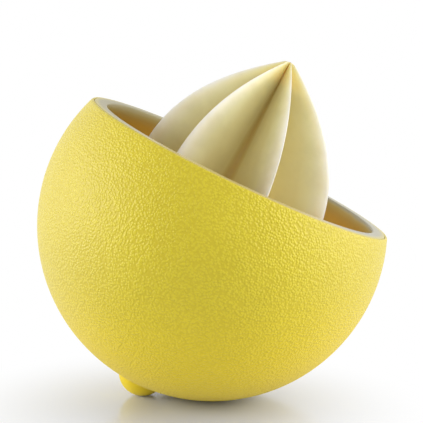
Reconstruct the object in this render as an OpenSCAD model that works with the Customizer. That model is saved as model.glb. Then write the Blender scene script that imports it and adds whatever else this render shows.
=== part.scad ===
// Hand citrus press shaped like half a lemon.
// A soft peel with a nub at its pole wraps a stiff juice cup.
// A slotted strainer drops into the cup and carries a hollow reamer with six fins.
// The press rests leaning over, on a flat under its belly and on the nub.

/* [Ball] */
// Radius of the ball that the outside of the peel follows
ball_r = 55.75; // [53:0.25:59]
// Height of the rim above the middle of the ball
rim_h = 21; // [18:0.25:23]
// Angle by which the press leans over as it stands
lean = 25.25; // [23:0.25:27]
// Depth of the flat under the belly
belly_flat = 0.4; // [0.25:0.05:0.7]

/* [Nub] */
// Radius of the round nub at the pole
nub_r = 7.75; // [7:0.25:8.5]
// Depth of the flat under the nub
nub_flat = 0.15; // [0.1:0.05:0.3]
// Radius of the hollow blend between nub and belly
nub_blend = 2.5; // [1.5:0.25:4]

/* [Peel] */
// Thickness of the soft peel
peel_wall = 3; // [2.6:0.1:3.6]
// Clearance between the peel and the cup inside it
skin_gap = 0.15; // [0.1:0.05:0.3]
// Distance from the rim down to the peel's edge, which stands round the lip
edge_drop = 0.15; // [0.1:0.05:0.3]
// Share of the edge's width that is bevelled off its outer corner
edge_bevel = 0.65; // [0.4:0.05:0.8]

/* [Cup] */
// Thickness of the cup's wall
cup_wall = 2; // [1.6:0.1:2.4]
// Thickness of the lip's flange, which rests on the peel
lip_t = 0.6; // [0.5:0.05:0.9]
// Thickness of the lip at its root
lip_root_t = 1.8; // [1.4:0.1:2.4]
// Width of the lip's flange
lip_step = 0.95; // [0.7:0.05:1.2]
// Distance by which the lip stays inside the ball
lip_inset = 0.85; // [0.7:0.05:1.1]
// Bevel on the inner edge of the lip
lip_bevel = 0.5; // [0.3:0.1:0.8]
// Distance by which the wall comes in from the rim down to the ledge
wall_draft = 0.9; // [0.6:0.1:1.4]
// Width of the ledge that the strainer rests on
ledge_w = 2.6; // [2.2:0.1:3.2]
// Distance by which the wall comes in from the ledge down to the round bowl
bowl_draft = 0.7; // [0.5:0.1:1]
// Height of the ribs under the middle of the bowl
foot_h = 5; // [3.5:0.25:6.5]
// Number of ribs that hold the peel out to its round shape
rib_n = 12; // [8:2:16]
// Thickness of a rib
rib_t = 1.8; // [1.4:0.1:2.4]
// Radius of the pad where the ribs meet
pad_r = 8; // [6:0.5:10]

/* [Strainer] */
// Depth of the strainer's top below the rim
strainer_depth = 14.5; // [13:0.25:16]
// Thickness of the strainer plate
plate_t = 2.6; // [2.2:0.1:3]
// Clearance between the strainer and the wall of the cup
lift_gap = 0.35; // [0.3:0.05:0.5]
// Number of drain slots
slot_n = 36; // [24:4:44]
// Width of a drain slot at its inner end
slot_w = 1.6; // [1.2:0.1:2]
// Width of the plain band round the inside of the slots
slot_land = 2; // [1.5:0.1:2.5]
// Distance from the slots to the edge of the ledge
slot_margin = 0.6; // [0.4:0.1:1]
// Number of lugs that stop the strainer from turning
lug_n = 3; // [2:1:5]
// Length of a lug round the strainer
lug_l = 9; // [7:0.5:12]
// Depth of a lug below the strainer
lug_h = 2.6; // [2:0.1:3.2]
// Thickness of a lug
lug_t = 1.4; // [1.2:0.1:1.6]

/* [Reamer] */
// Height of the reamer above the strainer
reamer_h = 52; // [48:0.5:56]
// Number of fins
fin_n = 6; // [5:1:8]
// Radius of the fins' ridges at the strainer
ridge_r = 31.75; // [30:0.25:33]
// Roundness of the ridges seen from the side, where 1 is a straight cone
ridge_bow = 2.45; // [2:0.05:2.8]
// Radius of the valleys at the strainer
valley_r = 16; // [14:0.25:19]
// Turn of the fins about the reamer's own axis
fin_turn = 47.5; // [0:0.5:59.5]
// Thickness of the reamer's wall
reamer_wall = 1.6; // [1.3:0.1:1.9]
// Height that is taken off the reamer's point
tip_cut = 1.2; // [0.8:0.1:2]
// Thickness of the disc at the reamer's foot
disc_t = 1.4; // [1.1:0.1:1.7]
// Width of the disc outside the ridges
disc_margin = 1.8; // [1.4:0.1:2.4]
// Clearance between the reamer and the hole in the strainer
plug_gap = 0.15; // [0.1:0.05:0.25]
// Thickness of the skirt that plugs into the strainer
skirt_t = 1.5; // [1.2:0.1:1.8]
// Number of snap hooks on the skirt
hook_n = 3; // [2:1:5]
// Length of a hook round the skirt, in degrees
hook_span = 16; // [10:1:24]
// Distance by which a hook reaches under the strainer
hook_reach = 1; // [0.7:0.1:1.3]
// Height of a hook
hook_h = 2.4; // [1.8:0.1:3]
// Width of the slits beside a hook
slit_w = 1; // [0.8:0.1:1.4]

/* [Hidden] */
$fn = 96;

// A cut runs this far past the face that it cuts through
over = 1;
// Round faces that would meet edge to edge cross each other by this much
cross = 0.05;
// A ball that continues as a cone runs on inside it by this much
lap = 2;
// A hook's slope ends inside the skirt, this far above the skirt's foot
hook_foot = 0.3;
// A thin fin takes this many walls' thickness of a ridge
ridge_walls = 2.5;
// The hollow under a ridge ends this far inside the skirt
hollow_land = 0.85;
// The hollow's valleys still have this radius at its top
hollow_top_r = 1;

// Heights are measured from the middle of the ball until stance() sets the press down.
stand_h = ball_r - belly_flat;
nub_z = -(stand_h - nub_r + nub_flat) / cos(lean);

// The lip, its flange and its root
seat_z = rim_h - lip_t;
root_z = rim_h - lip_root_t;
lip_r = sqrt(pow(ball_r, 2) - pow(rim_h, 2)) - lip_inset;
step_r = lip_r - lip_step;

// The peel's inside, and its edge round the lip
inner_r = ball_r - peel_wall;
edge_z = rim_h - edge_drop;
edge_out_r = sqrt(pow(ball_r, 2) - pow(edge_z, 2));
bevel_w = edge_bevel * (edge_out_r - lip_r - skin_gap);

// The cup, from the mouth down
peel_mouth_r = sqrt(pow(inner_r, 2) - pow(seat_z, 2));
mouth_r = peel_mouth_r - 2 * skin_gap - cup_wall;
seat_r = mouth_r - wall_draft;
ledge_r = seat_r - ledge_w;
bowl_r = ledge_r - bowl_draft;
strainer_z = rim_h - strainer_depth;
ledge_z = strainer_z - plate_t;
rib_r = inner_r - skin_gap;
bowl_z = bowl_r + cup_wall + foot_h - rib_r;

// The strainer
plate_r = seat_r - lift_gap;
lug_r = ledge_r + lift_gap + lug_t;

// The reamer
fin_core = reamer_wall * ridge_walls;
hub_r = ridge_r - fin_core + hollow_land + skirt_t + plug_gap;
disc_r = ridge_r + disc_margin;
skirt_r = hub_r - plug_gap;
slot_in_r = disc_r + plug_gap + slot_land;
slot_out_r = ledge_r - slot_margin;

// Points round one fin, levels up the outside and levels up the inside
fin_points = 14;
outer_levels = 15;
inner_levels = 9;
hollow_h = reamer_h * (1 - (reamer_wall + hollow_top_r) / valley_r);
tip_rise = tip_cut / 3;

// Sets the press down on the table, leaning toward +X
module stance() {
    translate([0, 0, stand_h]) rotate([0, lean, 0]) children();
}

// A round body between two heights, each with its own radius
module taper(z0, r0, z1, r1) {
    translate([0, 0, z0]) cylinder(h = z1 - z0, r1 = r0, r2 = r1);
}

// ---- Peel ----

// Hollow collar that blends the nub into the ball
module nub_collar() {
    ball_reach = ball_r + nub_blend;
    nub_reach = nub_r + nub_blend;
    mid_z = (pow(nub_reach, 2) - pow(ball_reach, 2) - pow(nub_z, 2)) / (-2 * nub_z);
    mid_r = sqrt(pow(ball_reach, 2) - pow(mid_z, 2));
    arc_r = nub_blend + cross;
    to_ball = atan2(-mid_z, -mid_r);
    to_nub = atan2(nub_z - mid_z, -mid_r);
    from = to_ball < 0 ? to_ball + 360 : to_ball;
    to = to_nub < 0 ? to_nub + 360 : to_nub;
    steps = 14;
    arc = [for (i = [0:steps])
        let (a = from + (to - from) * i / steps)
        [mid_r + arc_r * cos(a), mid_z + arc_r * sin(a)]];
    rotate_extrude() polygon(concat(arc, [[0, nub_z], [0, nub_z + nub_r]]));
}

module peel_outside() {
    sphere(ball_r);
    translate([0, 0, nub_z]) sphere(nub_r);
    nub_collar();
}

// Everything above the peel's edge and outside its bevel
module above_edge() {
    slant = bevel_w + over;
    taper(edge_z, ball_r, ball_r + over, ball_r);
    difference() {
        taper(edge_z - slant, ball_r, edge_z + over, ball_r);
        taper(edge_z - slant - over, edge_out_r + 2 * over, edge_z + 2 * over, edge_out_r - slant - over);
    }
}

module peel() {
    color([0.91, 0.81, 0.30]) difference() {
        stance() difference() {
            peel_outside();
            sphere(inner_r);
            above_edge();
            taper(seat_z, lip_r + skin_gap, ball_r, lip_r + skin_gap);
            taper(root_z - skin_gap, step_r + skin_gap, ball_r, step_r + skin_gap);
        }
        translate([-ball_r, -ball_r, -ball_r]) cube([2 * ball_r, 2 * ball_r, ball_r]);
    }
}

// ---- Juice cup ----

// The cup's inside where grow is 0, and its outside where grow is the wall
module cup_form(grow) {
    intersection() {
        translate([0, 0, bowl_z]) sphere(bowl_r + grow);
        taper(bowl_z - 2 * bowl_r, 2 * bowl_r, bowl_z + lap, 2 * bowl_r);
    }
    taper(bowl_z, bowl_r + grow - cross, ledge_z - grow, ledge_r + grow);
    taper(ledge_z - grow, seat_r + grow, rim_h, mouth_r + grow);
}

// Upright ribs and a pad between the cup and the peel
module cup_ribs() {
    intersection() {
        sphere(rib_r);
        union() {
            for (i = [0:rib_n / 2 - 1])
                rotate([0, 0, i * 360 / rib_n])
                    translate([-rib_r, -rib_t / 2, -rib_r]) cube([2 * rib_r, rib_t, rib_r + root_z]);
            taper(-rib_r, pad_r, bowl_z, pad_r);
        }
    }
}

module cup_lip() {
    taper(root_z, step_r, rim_h, step_r);
    taper(seat_z, lip_r, rim_h, lip_r);
}

// Block at each lug's place, rooted in the strainer and grown by a clearance
module lug_block(gap) {
    for (i = [0:lug_n - 1])
        rotate([0, 0, 90 + i * 360 / lug_n])
            translate([-lug_l / 2 - gap, ledge_r / 2, ledge_z - lug_h - gap])
                cube([lug_l + 2 * gap, lug_r, lug_h + gap + plate_t / 2]);
}

// Notches in the ledge that the strainer's lugs drop into
module lug_notches() {
    intersection() {
        taper(ledge_z - 2 * lug_h, lug_r + lift_gap, strainer_z, lug_r + lift_gap);
        lug_block(lift_gap);
    }
}

module juice_cup() {
    color([0.91, 0.88, 0.78]) stance() difference() {
        union() {
            cup_form(cup_wall);
            cup_lip();
            cup_ribs();
        }
        cup_form(0);
        taper(rim_h - lip_bevel, mouth_r, rim_h + over, mouth_r + lip_bevel + over);
        lug_notches();
    }
}

// ---- Strainer ----

// Drain slots, each a wedge that widens outward
module drain_slots() {
    half = slot_w / 2;
    wide = half * slot_out_r / slot_in_r;
    for (i = [0:slot_n - 1])
        rotate([0, 0, i * 360 / slot_n])
            polygon([[slot_in_r, -half], [slot_out_r, -wide], [slot_out_r, wide], [slot_in_r, half]]);
}

module strainer_plate() {
    translate([0, 0, ledge_z]) linear_extrude(plate_t) difference() {
        circle(plate_r);
        circle(hub_r);
        drain_slots();
    }
}

module strainer_lugs() {
    intersection() {
        difference() {
            taper(ledge_z - 2 * lug_h, lug_r, strainer_z, lug_r);
            taper(ledge_z - 3 * lug_h, lug_r - lug_t, strainer_z + over, lug_r - lug_t);
        }
        lug_block(0);
    }
}

module strainer() {
    color([0.89, 0.86, 0.75]) stance() difference() {
        union() {
            strainer_plate();
            strainer_lugs();
        }
        taper(strainer_z - disc_t, disc_r + plug_gap, strainer_z + over, disc_r + plug_gap);
    }
}

// ---- Reamer ----

// Radius of a ridge and of a valley at a height above the strainer
function ridge_at(h) = ridge_r * (1 - pow(max(h, 0) / reamer_h, ridge_bow));
function valley_at(h) = valley_r * (1 - max(h, 0) / reamer_h);

// Outline of the fins: sharp at the ridges, hollow and smooth in the valleys
function fin_outline(ridge, valley) = [
    for (i = [0:fin_n * fin_points - 1])
        let (
            k = i % fin_points,
            half = fin_points / 2,
            near = k <= half ? k / half : (fin_points - k) / half,
            side = k <= half ? 1 : -1,
            off = pow(near, 1.5),
            turn = side * off * 180 / fin_n,
            ridge_no = k <= half ? floor(i / fin_points) : floor(i / fin_points) + 1,
            a = fin_turn + ridge_no * 360 / fin_n + turn,
            r = valley + (ridge - valley) * pow(1 - off, 2)
        )
        [r * cos(a), r * sin(a)]
];

function at_height(outline, z) = [for (p = outline) [p[0], p[1], z]];

// Rings run up the outside, and then down the inside to the foot
outer_top = reamer_h - tip_cut;
outer_heights = concat([-disc_t],
    [for (i = [0:outer_levels]) outer_top * (1 - pow(1 - i / outer_levels, 1.5))]);
inner_heights = concat([for (i = [inner_levels:-1:0]) hollow_h * i / inner_levels], [-disc_t]);

module reamer_fins() {
    outer = [for (h = outer_heights)
        at_height(fin_outline(ridge_at(h), valley_at(h)), strainer_z + h)];
    inner = [for (h = inner_heights)
        at_height(fin_outline(ridge_at(h) - fin_core, valley_at(h) - reamer_wall), strainer_z + h)];
    rings = concat(outer, inner);
    n = fin_n * fin_points;
    last = len(rings) - 1;
    tip = len(outer) - 1;
    peak = len(rings) * n;
    points = concat([for (ring = rings) for (p = ring) p],
        [[0, 0, strainer_z + outer_top + tip_rise], [0, 0, strainer_z + hollow_h]]);
    strip = [for (j = [0:last], i = [0:n - 1], second = [0, 1])
        if (j != tip)
            let (
                up = j == last ? 0 : (j + 1) * n,
                a = j * n + i,
                b = j * n + (i + 1) % n,
                c = up + (i + 1) % n,
                d = up + i
            )
            second == 0 ? [a, c, b] : [a, d, c]];
    outer_cap = [for (i = [0:n - 1]) [peak, tip * n + (i + 1) % n, tip * n + i]];
    inner_cap = [for (i = [0:n - 1]) [peak + 1, (tip + 1) * n + i, (tip + 1) * n + (i + 1) % n]];
    polyhedron(points, concat(strip, outer_cap, inner_cap));
}

// Disc at the foot, open inside the fins
module reamer_disc() {
    wall_middle = reamer_wall / 2;
    translate([0, 0, strainer_z - disc_t]) linear_extrude(disc_t) difference() {
        circle(disc_r);
        polygon(fin_outline(ridge_r - fin_core / 2, valley_r - wall_middle));
    }
}

// Skirt below the disc, slit beside each hook so that the hook can spring
module reamer_skirt() {
    skirt_h = plate_t - disc_t + hook_h;
    slit_turn = (hook_span / 2) + slit_w / skirt_r * 90 / PI;
    difference() {
        taper(strainer_z - disc_t - skirt_h, skirt_r, strainer_z - disc_t, skirt_r);
        taper(strainer_z - disc_t - skirt_h - over, skirt_r - skirt_t, strainer_z, skirt_r - skirt_t);
        for (i = [0:hook_n - 1], side = [-1, 1])
            rotate([0, 0, fin_turn + i * 360 / hook_n + side * slit_turn])
                translate([skirt_r - 2 * skirt_t, -slit_w / 2, strainer_z - disc_t - skirt_h - over])
                    cube([3 * skirt_t, slit_w, skirt_h]);
    }
}

module reamer_hooks() {
    for (i = [0:hook_n - 1])
        rotate([0, 0, fin_turn + i * 360 / hook_n - hook_span / 2])
            rotate_extrude(angle = hook_span)
                polygon([
                    [skirt_r - skirt_t / 2, ledge_z],
                    [skirt_r + hook_reach, ledge_z],
                    [skirt_r - skirt_t / 2, ledge_z - hook_h + hook_foot]
                ]);
}

module reamer() {
    color([0.93, 0.90, 0.80]) stance() {
        reamer_fins();
        reamer_disc();
        reamer_skirt();
        reamer_hooks();
    }
}

peel();
juice_cup();
strainer();
reamer();
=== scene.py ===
"""Hand citrus press shaped like half a lemon, in a soft grained peel, with its floor, lights and camera."""

import math

import bmesh
import bpy
from mathutils import Matrix, Vector


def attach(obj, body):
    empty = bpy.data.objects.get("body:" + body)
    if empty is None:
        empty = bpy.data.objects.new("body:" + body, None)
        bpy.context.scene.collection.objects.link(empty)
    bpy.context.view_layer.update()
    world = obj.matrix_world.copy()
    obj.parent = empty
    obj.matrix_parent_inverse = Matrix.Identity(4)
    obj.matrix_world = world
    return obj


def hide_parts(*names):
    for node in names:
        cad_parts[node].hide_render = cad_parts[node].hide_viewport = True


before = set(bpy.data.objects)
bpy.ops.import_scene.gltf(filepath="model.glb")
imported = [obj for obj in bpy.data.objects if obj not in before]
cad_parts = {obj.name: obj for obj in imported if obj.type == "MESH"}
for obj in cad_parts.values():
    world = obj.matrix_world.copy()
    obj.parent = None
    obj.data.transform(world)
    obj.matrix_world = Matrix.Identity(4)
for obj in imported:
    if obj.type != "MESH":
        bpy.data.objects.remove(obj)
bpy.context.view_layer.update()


# ---- Sizes, in mm, with heights from the middle of the ball ----

# The ball that the outside follows, the rim and the stance
BALL_R = 55.75
RIM_H = 21.0
LEAN = math.radians(25.25)
BELLY_FLAT = 0.4
STAND_H = BALL_R - BELLY_FLAT

# The peel, its edge round the lip and its nub
PEEL_WALL = 3.0
SKIN_INSET = 0.03
SKIN_GAP = 0.15
EDGE_DROP = 0.15
BEVEL_H = 1.9
NUB_R = 7.75
NUB_BLEND = 2.5
NUB_FLAT = 0.15
SKIN_R = BALL_R - SKIN_INSET
PEEL_INNER_R = BALL_R - PEEL_WALL
EDGE_Z = RIM_H - EDGE_DROP
NUB_Z = -(STAND_H - NUB_R + NUB_FLAT) / math.cos(LEAN)

# The cup, from the lip down to its round bowl, and its ribs
CUP_WALL = 2.0
LIP_T = 0.6
LIP_ROOT_T = 1.8
LIP_STEP = 0.95
LIP_INSET = 0.85
LIP_BEVEL = 0.25
WALL_DRAFT = 0.9
LEDGE_W = 2.6
BOWL_DRAFT = 0.7
FOOT_H = 5.0
RIBS = 12
RIB_T = 1.8
PAD_R = 8.0
SEAT_Z = RIM_H - LIP_T
LIP_ROOT_Z = RIM_H - LIP_ROOT_T
LIP_R = math.sqrt(BALL_R**2 - RIM_H**2) - LIP_INSET
STEP_R = LIP_R - LIP_STEP
PEEL_MOUTH_R = math.sqrt(PEEL_INNER_R**2 - SEAT_Z**2)
MOUTH_R = PEEL_MOUTH_R - 2 * SKIN_GAP - CUP_WALL
SEAT_R = MOUTH_R - WALL_DRAFT
LEDGE_R = SEAT_R - LEDGE_W
BOWL_R = LEDGE_R - BOWL_DRAFT
RIB_R = PEEL_INNER_R - SKIN_GAP
BOWL_Z = BOWL_R + CUP_WALL + FOOT_H - RIB_R

# The strainer and its lugs
STRAINER_DEPTH = 14.5
PLATE_T = 2.6
LIFT_GAP = 0.35
LUGS = 3
LUG_L = 9.0
LUG_H = 2.6
LUG_T = 1.4
STRAINER_Z = RIM_H - STRAINER_DEPTH
LEDGE_Z = STRAINER_Z - PLATE_T
PLATE_R = SEAT_R - LIFT_GAP
LUG_IN = LEDGE_R + LIFT_GAP
LUG_OUT = LUG_IN + LUG_T

# The reamer's fins, hollow and point
REAMER_H = 52.0
FINS = 6
RIDGE_R = 31.75
RIDGE_BOW = 2.45
VALLEY_R = 16.0
FIN_TURN = math.radians(47.5)
REAMER_WALL = 1.6
RIDGE_WALLS = 2.5
HOLLOW_TOP_R = 1.0
TIP_CUT = 1.2
TIP_RISE = TIP_CUT / 3
FIN_CORE = REAMER_WALL * RIDGE_WALLS
REAMER_TOP = REAMER_H - TIP_CUT
HOLLOW_H = REAMER_H * (1 - (REAMER_WALL + HOLLOW_TOP_R) / VALLEY_R)

# The reamer's disc and skirt, with half a hook and a slit in degrees round the axis, and the
# strainer's hole and slots round them
DISC_T = 1.4
DISC_MARGIN = 1.8
PLUG_GAP = 0.15
SKIRT_T = 1.5
SKIRT_LAND = 0.85
HOOKS = 3
HOOK_H = 2.4
HOOK_REACH = 1.0
HOOK_HALF = 8.0
SLIT_W = 1.0
SLIT_DROP = 1.0
SLOTS = 36
SLOT_W = 1.6
SLOT_LAND = 2.0
SLOT_MARGIN = 0.6
DISC_R = RIDGE_R + DISC_MARGIN
REBATE_R = DISC_R + PLUG_GAP
REBATE_Z = STRAINER_Z - DISC_T
SKIRT_R = RIDGE_R - FIN_CORE + SKIRT_LAND + SKIRT_T
SKIRT_Z = LEDGE_Z - HOOK_H
HUB_R = SKIRT_R + PLUG_GAP
SLIT_SPAN = math.degrees(SLIT_W / SKIRT_R)
SLIT_TOP = REBATE_Z - SLIT_DROP
SLOT_IN = REBATE_R + SLOT_LAND
SLOT_OUT = LEDGE_R - SLOT_MARGIN

# From the sizes above to metres, standing on the floor and leaning toward +X
STANCE = (
    Matrix.Translation((0, 0, STAND_H / 1000))
    @ Matrix.Rotation(LEAN, 4, "Y")
    @ Matrix.Scale(0.001, 4)
)


# ---- Node trees ----


class Wire:
    """A socket in a node tree. Arithmetic on it adds Math nodes."""

    def __init__(self, bench, socket):
        self.bench = bench
        self.socket = socket

    def math(self, operation, *values):
        return self.bench.add("ShaderNodeMath", {"operation": operation}, values)

    def __add__(self, other):
        return self.math("ADD", self, other)

    def __sub__(self, other):
        return self.math("SUBTRACT", self, other)

    def __rsub__(self, other):
        return self.math("SUBTRACT", other, self)

    def __mul__(self, other):
        return self.math("MULTIPLY", self, other)

    def __truediv__(self, other):
        return self.math("DIVIDE", self, other)

    def __pow__(self, other):
        return self.math("POWER", self, other)

    def __abs__(self):
        return self.math("ABSOLUTE", self)

    __radd__ = __add__
    __rmul__ = __mul__


class Bench:
    """A node tree under construction, for a finish, a geometry tree or the world."""

    def __init__(self, tree):
        self.tree = tree

    def add(self, kind, settings, sockets, out=0):
        """Adds one node: its settings first, then the values or links of its sockets."""
        node = self.tree.nodes.new(kind)
        for name, value in settings.items():
            if name == "stops":
                place_stops(node.color_ramp, value)
            else:
                setattr(node, name, value)
        pairs = sockets.items() if isinstance(sockets, dict) else enumerate(sockets)
        for key, value in pairs:
            if isinstance(value, Wire):
                self.tree.links.new(value.socket, node.inputs[key])
            else:
                node.inputs[key].default_value = value
        return Wire(self, node.outputs[out])

    def clamped(self, value):
        """A number held between 0 and 1."""
        settings = {"operation": "MULTIPLY", "use_clamp": True}
        return self.add("ShaderNodeMath", settings, [value, 1.0])

    def split(self, vector):
        """The three numbers of a vector."""
        first = self.add("ShaderNodeSeparateXYZ", {}, [vector])
        return [Wire(self, socket) for socket in first.socket.node.outputs]

    def blend(self, share, first, second):
        """A colour between two colours."""
        return self.add("ShaderNodeMix", {"data_type": "RGBA"}, {0: share, 6: first, 7: second}, out=2)

    def ramp(self, value, stops):
        """A colour from a row of stops, each a position from 0 to 1 and a colour."""
        return self.add("ShaderNodeValToRGB", {"stops": stops}, [value])

    def ease(self, value, start, end, low=0.0, high=1.0):
        """A number that goes smoothly from low at start to high at end."""
        return self.add(
            "ShaderNodeMapRange",
            {"interpolation_type": "SMOOTHSTEP"},
            {"Value": value, "From Min": start, "From Max": end, "To Min": low, "To Max": high},
        )

    def noise(self, place, scale, detail=2.0):
        """Soft noise, as a number."""
        return self.add("ShaderNodeTexNoise", {}, {"Vector": place, "Scale": scale, "Detail": detail})

    def seen(self):
        """1 where the camera looks, also by a mirror or through glass, and 0 where only light travels."""
        rays = self.add("ShaderNodeLightPath", {}, []).socket.node.outputs
        kinds = ("Is Camera Ray", "Is Glossy Ray", "Is Transmission Ray")
        direct, mirrored, through = (Wire(self, rays[kind]) for kind in kinds)
        return self.clamped(direct + mirrored + through)


def place_stops(ramp, stops):
    """Sets a colour ramp's stops, each a position and a colour."""
    while len(ramp.elements) < len(stops):
        ramp.elements.new(0.5)
    for element, (position, colour) in zip(ramp.elements, stops):
        element.position = position
        element.color = colour


def tone(red, green, blue):
    """A colour in linear light, from its values as a screen shows them."""
    line = [c / 255 for c in (red, green, blue)]
    return (*[c / 12.92 if c <= 0.04045 else ((c + 0.055) / 1.055) ** 2.4 for c in line], 1.0)


# ---- Finishes ----


class Finish(Bench):
    """A material with one Principled shader, and places measured in mm from the middle of the ball."""

    def __init__(self, name, **fixed):
        self.material = bpy.data.materials.new(name)
        self.material.use_nodes = True
        super().__init__(self.material.node_tree)
        self.shader = self.tree.nodes["Principled BSDF"]
        for socket, value in fixed.items():
            self.shader.inputs[socket.replace("_", " ")].default_value = value
        self.object_place = self.add("ShaderNodeTexCoord", {}, [], out="Object")
        self.place = self.add(
            "ShaderNodeMapping",
            {"vector_type": "POINT"},
            {
                "Vector": self.object_place,
                "Location": (STAND_H * math.sin(LEAN), 0, -STAND_H * math.cos(LEAN)),
                "Rotation": (0, -LEAN, 0),
                "Scale": (1000, 1000, 1000),
            },
        )
        self.x, self.y, self.z = self.split(self.place)
        self.radius = (self.x * self.x + self.y * self.y) ** 0.5

    def feed(self, **sockets):
        """Links wires to the shader's sockets and gives the finished material."""
        for socket, wire in sockets.items():
            self.tree.links.new(wire.socket, self.shader.inputs[socket.replace("_", " ")])
        return self.material

    def bump(self, height, depth):
        """A normal from a height between 0 and 1, with its depth in mm."""
        sockets = {"Strength": 1.0, "Distance": depth / 1000, "Height": height}
        return self.add("ShaderNodeBump", {}, sockets)


def peel_finish():
    """Matt lemon silicone with a fine pebbled grain that stops at the nub."""
    it = Finish("lemon_silicone_grain", Specular_IOR_Level=0.5, Sheen_Weight=0.12, Sheen_Roughness=0.5)
    from_middle = it.add("ShaderNodeVectorMath", {"operation": "LENGTH"}, [it.place], out=1)
    on_ball = it.ease(from_middle, BALL_R + 0.9, BALL_R + 0.1)
    cells = it.add(
        "ShaderNodeTexVoronoi",
        {"feature": "SMOOTH_F1"},
        {"Vector": it.place, "Scale": 1.3, "Smoothness": 0.45, "Randomness": 0.85},
    )
    grain = it.ease(cells, 0.75, 0.1) * on_ball
    broad = it.noise(it.place, 0.045)
    lemon = it.blend(it.ease(broad, 0.35, 0.65), tone(223, 204, 28), tone(228, 209, 34))
    x, _, z = it.split(it.object_place)
    # Painted sheen: the peel is paler toward its left and right sides, where the soft boxes' highlights
    # fall.
    lemon = it.blend(it.ease(abs(x), 0.02, 0.05, 0.0, 0.5), lemon, tone(224, 206, 90))
    # Painted bounce light: warmer and brighter low on the belly, near the floor.
    belly = it.ease(z, 0.05, 0.003)
    lemon = it.blend(belly * 0.9, lemon, tone(254, 222, 4))
    # Painted shade in the grain's creases, so the relief shows where the light is flat; weaker on the
    # belly.
    crease_shade = it.ease(grain, 0.0, 0.6, 0.3, 0.0) * (1 - belly * 0.7)
    crease_shaded = it.blend(crease_shade, lemon, tone(184, 156, 14))
    # Painted bounce light on the nub: brighter, and warmer toward its low end, where it lies in shade.
    on_nub = it.ease(from_middle, BALL_R + 0.2, BALL_R + 3.0)
    nub_low = it.ease(z, 0.0075, 0.001)
    nub_bounce_tone = it.blend(nub_low, tone(232, 211, 44), tone(255, 224, 4))
    return it.feed(
        Base_Color=it.blend(on_nub * 0.9, crease_shaded, nub_bounce_tone),
        Roughness=0.46 - grain * 0.08 + belly * 0.25,
        Normal=it.bump(grain, 0.17),
    )


def cup_finish():
    """Ivory plastic with painted light: paler painted light at the lip, and painted shade with the peel's
    yellow glow that turns amber down inside the cup.
    """
    it = Finish("cup_ivory_to_amber", Specular_IOR_Level=0.5)
    wander = it.noise(it.place, 0.09)
    depth = RIM_H - it.z + (wander - 0.5) * 1.6
    # Painted shade: the ivory darkens to amber with depth inside the cup, with the peel's yellow glow
    # painted in.
    colour = it.ramp(
        it.clamped(depth / 12.0),
        [
            (0.0, tone(160, 152, 110)),
            (0.06, tone(163, 150, 98)),
            (0.14, tone(154, 134, 62)),
            (0.26, tone(156, 122, 36)),
            (0.42, tone(171, 127, 24)),
            (1.0, tone(180, 138, 38)),
        ],
    )
    x, y, _ = it.split(it.object_place)
    # Painted light on the side toward +X: a paler lip and a lighter inner wall, as if lit from the left
    # over the far rim.
    painted_light_side = it.ease(x, -0.02, 0.045)
    inside = it.ease(depth, 0.3, 1.6)
    colour = it.blend(painted_light_side * (1 - inside), colour, tone(172, 168, 146))
    colour = it.blend(painted_light_side * inside * 0.28, colour, tone(168, 152, 100))
    # Painted light: lifts the colour on that side, most of all down inside.
    lift = 1 + painted_light_side * (0.05 + inside * 0.47)
    colour = it.add("ShaderNodeVectorMath", {"operation": "SCALE"}, {"Vector": colour, "Scale": lift})
    # Painted shade and yellow bounce from the peel along the lip's outer edge.
    peel_edge_shade = it.ease(it.radius, LIP_R - 2.2, LIP_R)
    colour = it.blend(peel_edge_shade * 0.75, colour, tone(210, 195, 98))
    # Painted yellow highlight on the lip's front, standing in for the peel's lit rounded edge beside it.
    front_lip_glow = it.ease(y, -0.03, -0.044) * (1 - inside)
    speck = it.noise(it.place, 0.8, detail=3.0)
    return it.feed(
        Base_Color=it.blend(front_lip_glow * 0.65, colour, tone(208, 186, 104)),
        Roughness=it.ease(speck, 0.3, 0.7, 0.32, 0.38),
        Normal=it.bump(speck, 0.003),
    )


def strainer_finish():
    """Ivory plastic, warmer toward its rim, with painted shade down inside the slots."""
    it = Finish("strainer_ivory", Specular_IOR_Level=0.5, Coat_Weight=0.15, Coat_Roughness=0.2)
    outward = it.ease(it.radius, 34.0, 45.0)
    colour = it.blend(outward, tone(222, 208, 162), tone(210, 190, 134))
    # Painted shade down inside the slots.
    below = it.ease(it.z, STRAINER_Z - 0.6, STRAINER_Z - 2.4)
    speck = it.noise(it.place, 0.7, detail=3.0)
    return it.feed(
        Base_Color=it.blend(below * 0.6, colour, tone(196, 168, 104)),
        Roughness=it.ease(speck, 0.3, 0.7, 0.3, 0.42),
        Normal=it.bump(speck, 0.012),
    )


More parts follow.
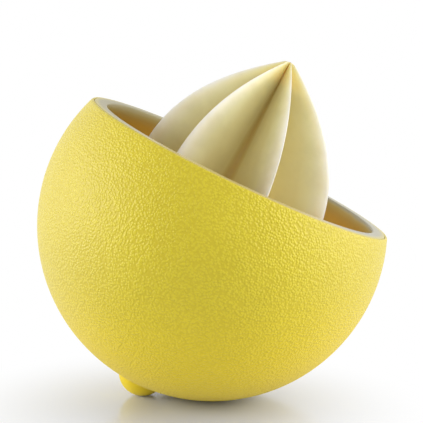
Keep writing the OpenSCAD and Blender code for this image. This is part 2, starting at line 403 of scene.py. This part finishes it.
def reamer_finish():
    """Ivory plastic with painted light: painted highlights along the thin ridges, painted warm shade in the
    valleys and near the foot.
    """
    it = Finish(
        "reamer_ivory",
        Specular_IOR_Level=0.45,
        Subsurface_Weight=0.45,
        Subsurface_Scale=0.005,
        Subsurface_Radius=(1.0, 0.8, 0.5),
    )
    height = it.z - STRAINER_Z
    up = it.clamped(height / REAMER_H)
    ridge = RIDGE_R * (1 - up**RIDGE_BOW) + 0.6
    valley = VALLEY_R * (1 - up)
    outward = it.clamped((it.radius - valley) / (ridge - valley))
    # Painted light: warm painted shade in the valleys and painted highlights along the ridges, with the
    # ivory body colour in between.
    flank_with_painted_light = it.ramp(
        outward,
        [
            (0.0, tone(204, 171, 91)),
            (0.1, tone(231, 212, 140)),
            (0.45, tone(231, 213, 145)),
            (0.65, tone(237, 224, 165)),
            (0.8, tone(239, 229, 190)),
            (0.92, tone(245, 239, 220)),
            (1.0, tone(250, 247, 238)),
        ],
    )
    # Painted shade low on the reamer, near the plate.
    foot_shade = it.ease(height, 16.0, 2.0)
    colour = it.blend(foot_shade * 0.4, flank_with_painted_light, tone(184, 156, 86))
    streak = it.noise(it.place, 0.12, detail=3.0)
    wet = it.noise(it.place, 0.45)
    return it.feed(
        Base_Color=it.blend(it.ease(streak, 0.35, 0.7) * 0.2, colour, tone(192, 174, 112)),
        Roughness=it.ease(wet, 0.35, 0.65, 0.0, 0.1) + it.ease(outward, 0.1, 0.7, 0.55, 0.3),
        Normal=it.bump(wet, 0.05),
    )


def floor_finish():
    """Pale glossy board that runs out into plain white."""
    it = Finish("pale_board", Specular_IOR_Level=0.5)
    x, y, _ = it.split(it.object_place)

    def distance(middle_x, middle_y):
        """Distance over the board in metres, in rounds that are a little longer in depth."""
        across = x - middle_x
        along = (y - middle_y) * 0.9
        return (across * across + along * along) ** 0.5

    near = it.ease(distance(-0.01, -0.018), 0.08, 0.012)
    # A painted blue tint near the press, which cancels the yellow bounce light from the peel.
    bounce_counter_tint = it.ease(distance(-0.002, -0.018), 0.075, 0.012)
    cloud = it.noise(it.object_place, 9.0, detail=1.0)
    board = it.blend(cloud, tone(218, 221, 226), tone(222, 225, 230))
    it.feed(
        Base_Color=it.blend(bounce_counter_tint, board, tone(206, 213, 244)),
        Roughness=it.ease(cloud, 0.3, 0.7, 0.16, 0.2),
    )
    white = it.add("ShaderNodeEmission", {}, {"Color": (1, 1, 1, 1), "Strength": 1.0})
    lit = Wire(it, it.shader.outputs[0])
    mixed = it.add("ShaderNodeMixShader", {}, [(1 - near) * it.seen(), lit, white])
    it.tree.links.new(mixed.socket, it.tree.nodes["Material Output"].inputs["Surface"])
    return it.material


# ---- Shapes ----

# Points round the axis on the peel and the cup
ROUND = 240
# A step at a mark lies between two angles this far to each side of it, in degrees
MARK_HALF = 0.03
# No other angle lies nearer than this to a mark
MARK_CLEAR = 0.4


def swung(r, turn, z):
    """A point at a distance from the axis, at an angle in radians round it."""
    return (r * math.cos(turn), r * math.sin(turn), z)


def arc(middle, radius, start, end, count):
    """Points on an arc of a profile, from one angle to another in degrees."""
    turns = [math.radians(start + (end - start) * i / count) for i in range(count + 1)]
    return [(middle[0] + radius * math.cos(t), middle[1] + radius * math.sin(t)) for t in turns]


def softened(points, soft, count=4):
    """A profile with chosen corners rounded: soft gives the reach of the rounding by point number."""
    out = []
    for i, corner in enumerate(points):
        reach = soft.get(i, 0)
        if not reach:
            out.append(corner)
            continue
        here = Vector(corner)
        sides = []
        for other in (points[i - 1], points[(i + 1) % len(points)]):
            away = Vector(other) - here
            sides.append(here + away.normalized() * min(reach, away.length * 0.49))
        for k in range(count + 1):
            t = k / count
            spot = sides[0] * (1 - t) ** 2 + here * 2 * t * (1 - t) + sides[1] * t**2
            out.append((spot.x, spot.y))
    return out


def marked(plain, marks):
    """Angles in degrees with a close pair at each mark, where a shape may step."""
    kept = [a for a in plain if all(abs(a - m) > MARK_CLEAR for m in marks)]
    return sorted(kept + [m + side for m in marks for side in (-MARK_HALF, MARK_HALF)])


def round_angles(marks=()):
    """Even angles all round the axis, with a close pair at each mark."""
    return marked([360 * i / ROUND for i in range(ROUND)], [m % 360 for m in marks])


def spread(half, steps):
    """Even values from minus half to half."""
    return [-half + 2 * half * i / steps for i in range(steps + 1)]


def strips(lines, length, turned=False, looped=False):
    """Faces between neighbouring lines of points.

    Where it is turned, the last line meets the first. Where it is looped, each line's end meets its start.
    """
    faces = []
    for i in range(lines if turned else lines - 1):
        a, b = i * length, (i + 1) % lines * length
        for k in range(length if looped else length - 1):
            up = (k + 1) % length
            faces.append((a + k, b + k, b + up, a + up))
    return faces


def revolved(profile, angles, closed=True, step=None):
    """Points and faces of a profile turned round the axis. step may move a point by its angle."""
    points = []
    for a in angles:
        for k, (r, z) in enumerate(profile):
            if step:
                r, z = step(k, r, z, a)
            points.append(swung(r, math.radians(a), z))
    return points, strips(len(angles), len(profile), turned=closed)


def joined(*shapes):
    """Several shapes as one list of points and one of faces."""
    points, faces = [], []
    for more_points, more_faces in shapes:
        base = len(points)
        points += more_points
        faces += [tuple(base + v for v in face) for face in more_faces]
    return points, faces


def plain_object(name, shape):
    """A mesh object from a shape's points and faces."""
    points, faces = shape
    mesh = bpy.data.meshes.new(name)
    mesh.from_pydata(points, [], faces)
    thing = bpy.data.objects.new(name, mesh)
    bpy.context.scene.collection.objects.link(thing)
    return thing


def merged_objects(name, *things):
    """Joins several objects into one."""
    work = bmesh.new()
    for thing in things:
        work.from_mesh(thing.data)
    mesh = bpy.data.meshes.new(name)
    work.to_mesh(mesh)
    work.free()
    target, *others = things
    for thing in others:
        bpy.data.objects.remove(thing)
    target.data = mesh
    target.name = name
    return target


def settle(thing, material, sharp=35):
    """Closes the mesh, turns its faces outward, sets it in its place and gives it its finish."""
    mesh = thing.data
    work = bmesh.new()
    work.from_mesh(mesh)
    bmesh.ops.remove_doubles(work, verts=work.verts, dist=0.0004)
    bmesh.ops.dissolve_degenerate(work, edges=work.edges, dist=0.0001)
    bmesh.ops.recalc_face_normals(work, faces=work.faces)
    bmesh.ops.transform(work, matrix=STANCE, verts=work.verts)
    for v in work.verts:
        v.co.z = max(v.co.z, 0.0)
    work.to_mesh(mesh)
    work.free()
    mesh.polygons.foreach_set("use_smooth", [True] * len(mesh.polygons))
    mesh.set_sharp_from_angle(angle=math.radians(sharp))
    mesh.materials.clear()
    mesh.materials.append(material)
    mesh.polygons.foreach_set("material_index", [0] * len(mesh.polygons))
    mesh.update()
    return thing


# ---- Geometry trees ----


def new_tree(name, *sizes):
    """A geometry tree with a shape, a ring's count and first turn, named sizes and a finish as inputs."""
    tree = bpy.data.node_groups.new(name, "GeometryNodeTree")
    face = tree.interface
    face.new_socket("Shape", in_out="INPUT", socket_type="NodeSocketGeometry")
    face.new_socket("Copies", in_out="INPUT", socket_type="NodeSocketInt")
    for label in ("First Turn", *sizes):
        face.new_socket(label, in_out="INPUT", socket_type="NodeSocketFloat")
    face.new_socket("Finish", in_out="INPUT", socket_type="NodeSocketMaterial")
    face.new_socket("Shape", in_out="OUTPUT", socket_type="NodeSocketGeometry")
    bench = Bench(tree)
    entry = tree.nodes.new("NodeGroupInput")
    given = {socket.name: Wire(bench, socket) for socket in entry.outputs if socket.name}
    return bench, given


def ring_and_finish(bench, shape, given):
    """Sets copies of a shape round the axis, makes them real and gives them their finish."""
    spots = bench.add("GeometryNodePoints", {}, {"Count": given["Copies"]})
    number = bench.add("GeometryNodeInputIndex", {}, [])
    turn = (number * (2 * math.pi)) / given["Copies"] + given["First Turn"]
    spin = bench.add("ShaderNodeCombineXYZ", {}, {"Z": turn})
    ring = bench.add(
        "GeometryNodeInstanceOnPoints", {}, {"Points": spots, "Instance": shape, "Rotation": spin}
    )
    real = bench.add("GeometryNodeRealizeInstances", {}, [ring])
    done = bench.add("GeometryNodeSetMaterial", {}, {"Geometry": real, "Material": given["Finish"]})
    way_out = bench.tree.nodes.new("NodeGroupOutput")
    bench.tree.links.new(done.socket, way_out.inputs[0])
    return bench.tree


def ring_tree():
    """Copies of one shape round the press's axis."""
    bench, given = new_tree("Ring of Copies")
    return ring_and_finish(bench, given["Shape"], given)


def fin_tree():
    """Bends a flat sheet into one fin's skin and sets the fins round the axis.

    The sheet runs from -1 to 1 across the fin, with its ridge at 0, and from 0 at the foot to 1 at the top.
    """
    bench, given = new_tree(
        "Reamer Fins",
        "Height",
        "Top",
        "Ridge Radius",
        "Ridge Bow",
        "Ridge Inset",
        "Ridge Softness",
        "Valley Radius",
        "Valley Inset",
        "Foot Height",
        "Foot Fillet",
    )
    place = bench.add("GeometryNodeInputPosition", {}, [])
    across, along, _ = bench.split(place)
    soft = given["Ridge Softness"]
    off = (across * across + soft * soft) ** 0.5 - soft
    top_tight = 1.5
    rise = given["Top"] * (1 - (1 - along) ** top_tight)
    up = rise / given["Height"]
    ridge = given["Ridge Radius"] * (1 - up ** given["Ridge Bow"]) - given["Ridge Inset"]
    valley = given["Valley Radius"] * (1 - up) - given["Valley Inset"]
    fillet = given["Foot Fillet"]
    near_foot = bench.clamped(1 - rise / fillet)
    flare = fillet * (1 - (1 - near_foot * near_foot) ** 0.5)
    reach = valley + (ridge - valley) * (1 - off) ** 2 + flare
    turn = across * math.pi / given["Copies"]
    spot = bench.add(
        "ShaderNodeCombineXYZ",
        {},
        [
            reach * turn.math("COSINE", turn),
            reach * turn.math("SINE", turn),
            rise + given["Foot Height"],
        ],
    )
    skin = bench.add("GeometryNodeSetPosition", {}, {"Geometry": given["Shape"], "Position": spot})
    return ring_and_finish(bench, skin, given)


def grown(name, shape, tree, material, **sizes):
    """A plain mesh object made by a geometry tree from a shape and named sizes."""
    thing = plain_object(name, shape)
    maker = thing.modifiers.new("maker", "NODES")
    maker.node_group = tree
    values = {label.replace("_", " "): value for label, value in sizes.items()}
    values["Finish"] = material
    for item in tree.interface.items_tree:
        if item.in_out == "INPUT" and item.name in values:
            maker[item.identifier] = values[item.name]
    graph = bpy.context.evaluated_depsgraph_get()
    mesh = bpy.data.meshes.new_from_object(thing.evaluated_get(graph))
    thing.modifiers.remove(maker)
    thing.data = mesh
    mesh.name = name
    return thing


# ---- The peel ----


def peel_outside():
    """The peel's outside from the nub's pole up to the bevel at its edge."""
    ball_reach, nub_reach = SKIN_R + NUB_BLEND, NUB_R + NUB_BLEND
    blend_z = (nub_reach**2 - ball_reach**2 - NUB_Z**2) / (-2 * NUB_Z)
    blend_r = math.sqrt(ball_reach**2 - blend_z**2)
    nub_end = math.degrees(math.atan2(blend_z - NUB_Z, blend_r))
    blend_end = math.degrees(math.atan2(-blend_z, -blend_r))
    ball_start = math.degrees(math.atan2(blend_z, blend_r))
    ball_end = math.degrees(math.asin((EDGE_Z - BEVEL_H) / SKIN_R))
    nub = arc((0, NUB_Z), NUB_R, -90, nub_end, count=22)
    blend = arc((blend_r, blend_z), NUB_BLEND, nub_end + 180, blend_end, count=10)
    ball = arc((0, 0), SKIN_R, ball_start, ball_end, count=84)
    return nub + blend[1:] + ball[1:]


def make_peel(finish):
    """The soft skin: its outside, its edge round the lip, the step that carries the lip, its inside."""
    outside = peel_outside()
    edge_out = math.sqrt(SKIN_R**2 - EDGE_Z**2)
    edge_in = LIP_R + SKIN_GAP
    seat_in = STEP_R + SKIN_GAP
    bore_z = LIP_ROOT_Z - SKIN_GAP
    edge = [(edge_out, EDGE_Z), (edge_in, EDGE_Z), (edge_in, SEAT_Z)]
    seat = [(seat_in, SEAT_Z), (seat_in, bore_z)]
    inside_start = math.degrees(math.asin(bore_z / PEEL_INNER_R))
    inside = arc((0, 0), PEEL_INNER_R, inside_start, -90, count=44)
    outer_corner = len(outside)
    inner_corner = outer_corner + 1
    profile = softened(outside + edge + seat + inside, {outer_corner: 0.8, inner_corner: 0.12})
    return settle(plain_object("peel_skin", revolved(profile, round_angles())), finish)


# ---- The juice cup ----


def cup_outside():
    """The cup's outside from its pole to the lip's underside, without the ribs."""
    outer_r = BOWL_R + CUP_WALL
    pad_turn = math.degrees(math.asin(PAD_R / RIB_R))
    pad = arc((0, 0), RIB_R, -90, -90 + pad_turn, count=4)
    meet = math.degrees(math.asin(PAD_R / outer_r))
    bowl = arc((0, BOWL_Z), outer_r, -90 + meet, 0, count=24)
    drawn_in = 0.09
    return pad + bowl + [
        (LEDGE_R + CUP_WALL, LEDGE_Z - CUP_WALL),
        (SEAT_R + CUP_WALL, LEDGE_Z - CUP_WALL),
        (MOUTH_R + CUP_WALL - drawn_in, LIP_ROOT_Z),
        (STEP_R, LIP_ROOT_Z),
        (STEP_R, SEAT_Z),
    ]


def lug_notches():
    """The first and last angle, in degrees, of each notch in the ledge."""
    half = math.degrees((LUG_L / 2 + LIFT_GAP) / LUG_OUT)
    return [(90 + i * 360 / LUGS - half, 90 + i * 360 / LUGS + half) for i in range(LUGS)]


def make_cup(finish, rings):
    """The stiff cup: outside, lip, wall, notched ledge and round bowl, with its ribs."""
    outside = cup_outside()
    notch_r = LUG_OUT + LIFT_GAP
    notch_z = LEDGE_Z - LUG_H - LIFT_GAP
    notch_draft = 0.27
    wall_steps = 8
    lip = [(LIP_R, SEAT_Z), (LIP_R, RIM_H), (MOUTH_R + LIP_BEVEL, RIM_H)]
    wall = [
        (MOUTH_R - WALL_DRAFT * k / wall_steps, SEAT_Z - (SEAT_Z - LEDGE_Z) * k / wall_steps)
        for k in range(1, wall_steps + 1)
    ]
    ledge_end = (notch_r, LEDGE_Z)
    ledge = [ledge_end, ledge_end, (LEDGE_R, LEDGE_Z), (LEDGE_R - notch_draft, notch_z)]
    bowl = arc((0, BOWL_Z), BOWL_R, 0, -90, count=26)
    under = len(outside)
    lip_edges = {under: 0.1, under + 1: 0.4, under + 2: 0.55}
    profile = softened(outside + lip + wall + ledge + bowl, lip_edges)
    ledge_out = profile.index(ledge_end)
    notches = lug_notches()

    def notched(k, r, z, a):
        """Drops the ledge's points to the notch's floor at the angles of a notch."""
        in_notch = any(low < a - whole < high for low, high in notches for whole in (-360, 0, 360))
        if in_notch and k in (ledge_out + 1, ledge_out + 2):
            return r, notch_z
        return r, z

    angles = round_angles([end for notch in notches for end in notch])
    body = plain_object("cup_body", revolved(profile, angles, step=notched))
    ribs = grown("cup_ribs", rib_blade(), rings, finish, Copies=RIBS, First_Turn=0.0)
    return settle(merged_objects("cup_moulding", body, ribs), finish)


def rib_blade():
    """One upright rib between the cup's outside and the peel, rooted in the cup's wall."""
    half = RIB_T / 2
    root = 0.9
    ledge_root = 0.6
    lean_out = 0.6
    pad_lap = 1.0
    low = math.degrees(math.asin(PAD_R / RIB_R)) - 90 - pad_lap
    high = math.degrees(math.asin(LIP_ROOT_Z / RIB_R))
    points = []
    outer = arc((0, 0), RIB_R, low, high, count=30)
    for r, z in outer:
        if z < BOWL_Z:
            share = (BOWL_R + root) / math.hypot(r, z - BOWL_Z)
            inner_r, inner_z = r * share, BOWL_Z + (z - BOWL_Z) * share
        elif z < LEDGE_Z - CUP_WALL:
            inner_r, inner_z = LEDGE_R + ledge_root, z
        else:
            inner_r, inner_z = SEAT_R + root + lean_out * z / RIM_H, z
        points += [(r, -half, z), (r, half, z), (inner_r, half, inner_z), (inner_r, -half, inner_z)]
    last = len(points) - 4
    ends = [(0, 1, 2, 3), (last + 3, last + 2, last + 1, last)]
    return points, ends + strips(len(outer), 4, looped=True)


# ---- The strainer ----

# Steps along a slot's side and round each of its ends, the same on the patch of plate round it
SIDE_STEPS = 8
END_STEPS = 4


def slot_outline(grow):
    """The outline of one drain slot with round ends, in the order of the patch round it."""
    narrow = SLOT_W / 2 + grow
    wide = SLOT_W / 2 * SLOT_OUT / SLOT_IN + grow
    start, end = SLOT_IN + SLOT_W / 2, SLOT_OUT - SLOT_W / 2
    inner = arc((start, 0), narrow, 270, 90, END_STEPS)
    outer = arc((end, 0), wide, 90, -90, END_STEPS)
    up = [
        (start + (end - start) * i / SIDE_STEPS, narrow + (wide - narrow) * i / SIDE_STEPS)
        for i in range(1, SIDE_STEPS)
    ]
    down = [(x, -y) for x, y in reversed(up)]
    return inner + up + outer + down


def patch_outline(r_in, r_out, half_turn):
    """The outline of the patch of plate round one slot, with as many points as the slot's."""
    turns = spread(half_turn, END_STEPS)
    inner = [(r_in, turn) for turn in turns]
    outer = [(r_out, turn) for turn in reversed(turns)]
    up = [(r_in + (r_out - r_in) * i / SIDE_STEPS, half_turn) for i in range(1, SIDE_STEPS)]
    down = [(r, -turn) for r, turn in reversed(up)]
    return [swung(r, math.radians(turn), 0)[:2] for r, turn in inner + up + outer + down]


def slot_patch(r_in, r_out, half_turn):
    """The plate round one slot, with a small bevel on both of the slot's edges."""
    bevel = 0.25
    edge = patch_outline(r_in, r_out, half_turn)
    loops = [
        (edge, STRAINER_Z),
        (slot_outline(bevel), STRAINER_Z),
        (slot_outline(bevel * 0.3), STRAINER_Z - bevel * 0.3),
        (slot_outline(0), STRAINER_Z - bevel),
        (slot_outline(0), LEDGE_Z + bevel),
        (slot_outline(bevel), LEDGE_Z),
        (edge, LEDGE_Z),
    ]
    points = [(x, y, z) for loop, z in loops for x, y in loop]
    return points, strips(len(loops), len(edge), looped=True)


def make_strainer(finish, rings):
    """The ring plate: a sector with one slot, set round the axis, and the lugs under it."""
    half_turn = 180 / SLOTS
    band = 0.5
    r_in, r_out = REBATE_R + band, PLATE_R - band
    hub = softened(
        [
            (r_in, STRAINER_Z),
            (REBATE_R, STRAINER_Z),
            (REBATE_R, REBATE_Z),
            (HUB_R, REBATE_Z),
            (HUB_R, LEDGE_Z),
            (r_in, LEDGE_Z),
        ],
        {1: 0.2, 3: 0.2, 4: 0.2},
    )
    rim = softened(
        [(r_out, STRAINER_Z), (PLATE_R, STRAINER_Z), (PLATE_R, LEDGE_Z), (r_out, LEDGE_Z)],
        {1: 0.35, 2: 0.35},
    )
    turns = spread(half_turn, END_STEPS)
    sector = joined(
        slot_patch(r_in, r_out, half_turn),
        revolved(hub, turns, closed=False),
        revolved(rim, turns, closed=False),
    )
    plate = grown("strainer_plate", sector, rings, finish, Copies=SLOTS, First_Turn=0.0)
    lugs = grown("strainer_lugs", lug_block(), rings, finish, Copies=LUGS, First_Turn=math.pi / 2)
    return settle(merged_objects("strainer_ring", plate, lugs), finish)


def lug_block():
    """A curved lug below the plate, rooted nearly half way into it."""
    half = math.degrees(LUG_L / 2 / LUG_OUT)
    root = 1.2
    low, high = LEDGE_Z - LUG_H, LEDGE_Z + root
    corners = [(LUG_IN, high), (LUG_IN, low), (LUG_OUT, low), (LUG_OUT, high)]
    loop = softened(corners, {1: 0.35, 2: 0.35})
    points, faces = revolved(loop + loop[:1], spread(half, 12), closed=False)
    rows = len(loop)
    last = len(points) - rows - 1
    ends = [tuple(range(rows)), tuple(last + k for k in reversed(range(rows)))]
    return points, faces + ends


# ---- The reamer ----

# A skin's insets from the fins' outside, the softness of its ridges and the fillet at its foot
OUTER_SKIN = {"Ridge_Inset": 0.0, "Valley_Inset": 0.0, "Ridge_Softness": 0.022, "Foot_Fillet": 1.2}
INNER_SKIN = {
    "Ridge_Inset": FIN_CORE,
    "Valley_Inset": REAMER_WALL,
    "Ridge_Softness": 0.06,
    "Foot_Fillet": 0.01,
}


def fin_rows(count, tight):
    """Places across a fin, closer together at its ridge."""
    half = [(i / count) ** tight for i in range(1, count + 1)]
    return [-x for x in reversed(half)] + [0.0] + half


def flat_sheet(across, along):
    """A flat grid for the fins' tree to bend."""
    return [(x, y, 0) for y in along for x in across], strips(len(along), len(across))


def fin_skins(name, sheet, top, skin, fins, finish):
    """All the fins' skins on one side of the wall, bent from a flat sheet."""
    return grown(
        name,
        sheet,
        fins,
        finish,
        Copies=FINS,
        First_Turn=FIN_TURN,
        Height=REAMER_H,
        Top=top,
        Ridge_Radius=RIDGE_R,
        Ridge_Bow=RIDGE_BOW,
        Valley_Radius=VALLEY_R,
        Foot_Height=STRAINER_Z,
        **skin,
    )


def fin_reach(across, rise, skin):
    """The reach of a fin's skin at a height above its foot, by the same rule as the tree's."""
    soft, fillet = skin["Ridge_Softness"], skin["Foot_Fillet"]
    off = math.sqrt(across**2 + soft**2) - soft
    up = rise / REAMER_H
    ridge = RIDGE_R * (1 - up**RIDGE_BOW) - skin["Ridge_Inset"]
    valley = VALLEY_R * (1 - up) - skin["Valley_Inset"]
    near_foot = min(max(1 - rise / fillet, 0), 1)
    flare = fillet * (1 - math.sqrt(1 - near_foot**2))
    return valley + (ridge - valley) * (1 - off) ** 2 + flare


def cap(across, rise, skin, lift):
    """A fan that closes a skin of the fins at its top, with its middle lifted."""
    points = [(0, 0, STRAINER_Z + rise + lift)]
    for k in range(FINS):
        for x in across[:-1]:
            turn = FIN_TURN + (k + x / 2) * 2 * math.pi / FINS
            points.append(swung(fin_reach(x, rise, skin), turn, STRAINER_Z + rise))
    n = len(points) - 1
    return points, [(0, 1 + i, 1 + (i + 1) % n) for i in range(n)]


def reamer_foot(across):
    """The share of the disc under one fin, with a soft edge, open inside the fin."""
    points = []
    for x in across:
        outer_r, inner_r = fin_reach(x, 0.0, OUTER_SKIN), fin_reach(x, 0.0, INNER_SKIN)
        top = [(outer_r, STRAINER_Z), (DISC_R, STRAINER_Z)]
        under = [(DISC_R, REBATE_Z), (inner_r, REBATE_Z), (inner_r, STRAINER_Z)]
        points += [swung(r, x * math.pi / FINS, z) for r, z in softened(top + under, {1: 0.3})]
    return points, strips(len(across), len(points) // len(across))


def skirt_part():
    """The share of the skirt round one snap hook, which lies between two slits."""
    slit_end = HOOK_HALF + SLIT_SPAN
    marks = [side * a for side in (-1, 1) for a in (HOOK_HALF, slit_end)]
    angles = marked(spread(180 / HOOKS, 40), marks)
    root_z = REBATE_Z + DISC_T / 2
    points = []
    for a in angles:
        on_hook = abs(a) < HOOK_HALF
        in_slit = HOOK_HALF < abs(a) < slit_end
        low = SLIT_TOP if in_slit else SKIRT_Z
        reach = HOOK_REACH if on_hook else 0.0
        hook_z = max(LEDGE_Z, low)
        loop = [
            (SKIRT_R, root_z),
            (SKIRT_R, hook_z),
            (SKIRT_R + reach, hook_z),
            (SKIRT_R, low),
            (SKIRT_R - SKIRT_T, low),
            (SKIRT_R - SKIRT_T, root_z),
        ]
        points += [swung(r, math.radians(a), z) for r, z in loop]
    return points, strips(len(angles), len(points) // len(angles), looped=True)


def make_reamer(finish, rings, fins):
    """The hollow finned cone: two skins, closed at the top and joined by the disc, and the skirt."""
    across = fin_rows(count=16, tight=1.5)
    foot_share, foot_tight = 0.04, 1.6
    foot_steps, steps, inner_steps = 12, 56, 30
    foot_rows = [(i / foot_steps) ** foot_tight * foot_share for i in range(foot_steps)]
    outer_rows = foot_rows + [foot_share + (1 - foot_share) * i / steps for i in range(steps + 1)]
    inner_rows = [i / inner_steps for i in range(inner_steps + 1)]
    outer_sheet, inner_sheet = flat_sheet(across, outer_rows), flat_sheet(across, inner_rows)
    outer = fin_skins("fins_outside", outer_sheet, REAMER_TOP, OUTER_SKIN, fins, finish)
    inner = fin_skins("fins_inside", inner_sheet, HOLLOW_H, INNER_SKIN, fins, finish)
    tip = cap(across, REAMER_TOP, OUTER_SKIN, TIP_RISE)
    hollow_top = cap(across, HOLLOW_H, INNER_SKIN, 0.0)
    caps = plain_object("reamer_caps", joined(tip, hollow_top))
    foot = grown("reamer_foot", reamer_foot(across), rings, finish, Copies=FINS, First_Turn=FIN_TURN)
    skirt = grown("reamer_skirt", skirt_part(), rings, finish, Copies=HOOKS, First_Turn=FIN_TURN)
    whole = merged_objects("reamer_moulding", outer, inner, foot, caps, skirt)
    return settle(whole, finish, sharp=50)


# ---- The press ----

rings = ring_tree()
fins = fin_tree()

peel = make_peel(peel_finish())
cup = make_cup(cup_finish(), rings)
strainer = make_strainer(strainer_finish(), rings)
reamer = make_reamer(reamer_finish(), rings, fins)

for piece, body, node, slot in (
    (peel, "base", "peel", "peel_silicone"),
    (cup, "base", "juice_cup", "cup_plastic"),
    (strainer, "insert", "strainer", "strainer_plastic"),
    (reamer, "insert", "reamer", "reamer_plastic"),
):
    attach(piece, body)
    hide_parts(node)


# ---- Floor, lights and camera, in metres ----


def make_floor():
    """A wide board under the press."""
    half = 6.0
    corners = [(-half, -half, 0), (half, -half, 0), (half, half, 0), (-half, half, 0)]
    thing = plain_object("floor", (corners, [(0, 1, 2, 3)]))
    thing.data.materials.append(floor_finish())
    return thing


def make_lamp(name, place, aim, size, power):
    """A soft box that points from its place to an aim."""
    lamp = bpy.data.lights.new(name, "AREA")
    lamp.shape = "RECTANGLE"
    lamp.size, lamp.size_y = size
    lamp.energy = power
    thing = bpy.data.objects.new(name, lamp)
    thing.location = place
    thing.rotation_euler = (Vector(aim) - Vector(place)).to_track_quat("-Z", "Y").to_euler()
    bpy.context.scene.collection.objects.link(thing)


def make_world():
    """White all round: full strength where it is seen, and less where it only lights."""
    world = bpy.data.worlds.new("studio")
    bpy.context.scene.world = world
    world.use_nodes = True
    sky = Bench(world.node_tree)
    light = 0.65
    strength = sky.seen() * (1 - light) + light
    background = world.node_tree.nodes["Background"]
    background.inputs["Color"].default_value = (1, 1, 1, 1)
    world.node_tree.links.new(strength.socket, background.inputs["Strength"])


def make_camera(target, distance, rise, field):
    """A camera in front of a target, raised by an angle, that sees a field of this width there."""
    lens = bpy.data.cameras.new("camera")
    camera = bpy.data.objects.new("camera", lens)
    bpy.context.scene.collection.objects.link(camera)
    lens.lens = lens.sensor_width * distance / field
    lens.clip_start = 0.01
    camera.location = Vector(target) + Vector((0, -math.cos(rise), math.sin(rise))) * distance
    camera.rotation_euler = (math.pi / 2 - rise, 0, 0)
    bpy.context.scene.camera = camera


make_floor()
middle = (0, 0, 0.05)
make_lamp("soft_box_left", (-0.75, -0.06, 0.24), middle, size=(0.7, 0.4), power=3.8)
make_lamp("soft_box_right", (0.76, -0.12, 0.26), middle, size=(0.8, 0.44), power=4.7)
make_world()
make_camera((-0.00027, 0.0, 0.05998), distance=0.55, rise=math.radians(8.13), field=0.13499)
bpy.context.scene.view_settings.view_transform = "Standard"
